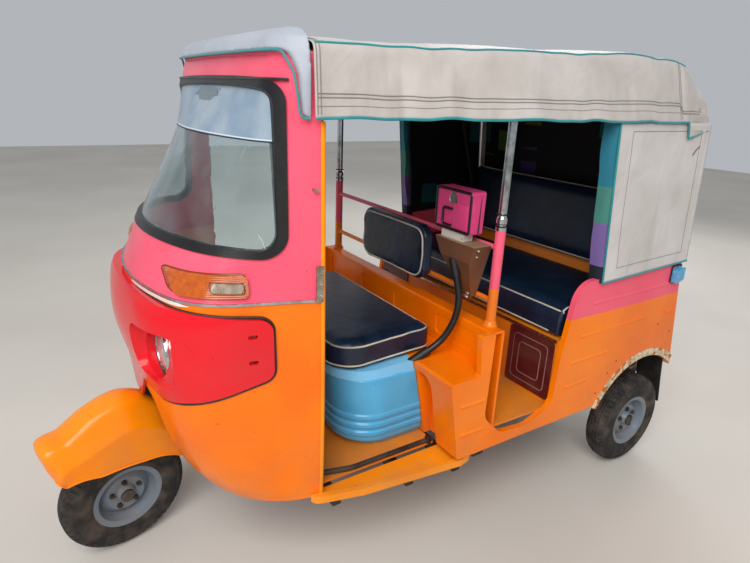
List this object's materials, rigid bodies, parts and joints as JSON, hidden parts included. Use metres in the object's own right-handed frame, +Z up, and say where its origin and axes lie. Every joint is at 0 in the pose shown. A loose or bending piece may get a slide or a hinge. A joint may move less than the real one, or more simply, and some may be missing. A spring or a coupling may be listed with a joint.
{
  "type": "auto rickshaw",
  "caption": "Open-sided passenger auto rickshaw: pressed steel cab and tub, canvas canopy on posts and hoops, driver's seat, rear bench, steered front wheel on a one-sided fork.",
  "frame": {"origin": "On the ground, in the middle of the vehicle's box, where the wheels stand at z 0.", "axes": "The front faces -Y, +X is the vehicle's left and +Z is up. The front axle is at y -1.035 and the rear axle at y 0.965."},
  "size_m": [1.3, 2.5414, 1.726],
  "materials": {
    "cab_paint": "semi-gloss",
    "moulding_paint": "gloss",
    "orange_paint": "semi-gloss",
    "pink_post_paint": "gloss",
    "seat_base_paint": "semi-gloss",
    "maroon_paint": "satin",
    "dark_red_paint": "satin",
    "frame_black": "satin",
    "fork_black": "satin",
    "blue_dash": "satin",
    "plated_tube": "polished",
    "bright_stud": "worn",
    "wheel_grey": "satin, dusty",
    "tyre": "matt, dusty",
    "seal_rubber": "satin",
    "hose_rubber": "satin",
    "flap_rubber": "matt",
    "glass": "clear",
    "lamp_glass": "fluted",
    "amber_lens": "gloss",
    "red_lens": "gloss",
    "seat_vinyl": "semi-gloss, piped",
    "canopy_cloth": "coated canvas, semi-gloss",
    "visor_cloth": "padded, coated canvas",
    "meter_paint": "semi-gloss",
    "bracket_steel": "rusty",
    "engine_grey": "matt, dusty",
    "suspension_black": "matt, dusty"
  },
  "bodies": {
    "root": {"cowl_lower": "orange_paint", "cowl_upper": "cab_paint", "windscreen_seal": "seal_rubber", "windscreen": "glass", "wheel_well": "dark_red_paint", "mirror_studs": "bright_stud", "front_indicators": "amber_lens", "headlamp_moulding": "moulding_paint", "headlamps": "lamp_glass", "dashboard": "blue_dash", "chassis_frame": "frame_black", "floor_pan": "orange_paint", "step_boards": "orange_paint", "foot_rails": "frame_black", "tub_left": "orange_paint", "tub_right": "orange_paint", "rear_wall": "orange_paint", "wheelhouses": "frame_black", "partition": "orange_paint", "post_frame": "pink_post_paint", "chrome_posts": "plated_tube", "driver_seat_base": "seat_base_paint", "driver_cushion": "seat_vinyl", "driver_backrest": "seat_vinyl", "bench_base": "orange_paint", "access_panels": "maroon_paint", "bench_cushion": "seat_vinyl", "bench_back": "seat_vinyl", "canopy_roof": "canopy_cloth", "canopy_visor": "visor_cloth", "canopy_quarters": "canopy_cloth", "rear_curtain": "canopy_cloth", "canopy_frame": "frame_black", "meter_bracket": "bracket_steel", "fare_meter": "meter_paint", "engine_block": "engine_grey", "rear_suspension": "suspension_black", "rear_bumper": "frame_black", "mud_flaps": "flap_rubber", "rear_lamps": "red_lens", "pedals": "frame_black", "meter_hose": "hose_rubber", "hose_glands": "seal_rubber"},
    "steering": {"front_fender": "orange_paint", "front_fork": "fork_black", "handlebar": "fork_black"},
    "front_wheel": {"front_tyre": "tyre", "front_rim": "wheel_grey"},
    "rear_wheel_left": {"rear_tyre_left": "tyre", "rear_rim_left": "wheel_grey"},
    "rear_wheel_right": {"rear_tyre_right": "tyre", "rear_rim_right": "wheel_grey"},
    "hood": {"engine_hood": "orange_paint"}
  },
  "joints": [
    {"name": "steering", "type": "hinge", "parent": "root", "child": "steering", "pos_m": [0, -1.035, 0.20675], "axis": [0, 0.309, 0.9511], "range_deg": [-55, 29]},
    {"name": "front_wheel_spin", "type": "hinge", "parent": "steering", "child": "front_wheel", "pos_m": [0, -1.035, 0.20675], "axis": [0.9744, 0.2139, -0.0695], "continuous": true},
    {"name": "rear_wheel_left_spin", "type": "hinge", "parent": "root", "child": "rear_wheel_left", "pos_m": [0.58, 0.965, 0.206], "axis": [1, 0, 0], "continuous": true},
    {"name": "rear_wheel_right_spin", "type": "hinge", "parent": "root", "child": "rear_wheel_right", "pos_m": [-0.58, 0.965, 0.206], "axis": [1, 0, 0], "continuous": true},
    {"name": "hood_hinge", "type": "hinge", "parent": "root", "child": "hood", "pos_m": [0, 1.10977, 0.91], "axis": [1, 0, 0], "range_deg": [0, 70]}
  ]
}
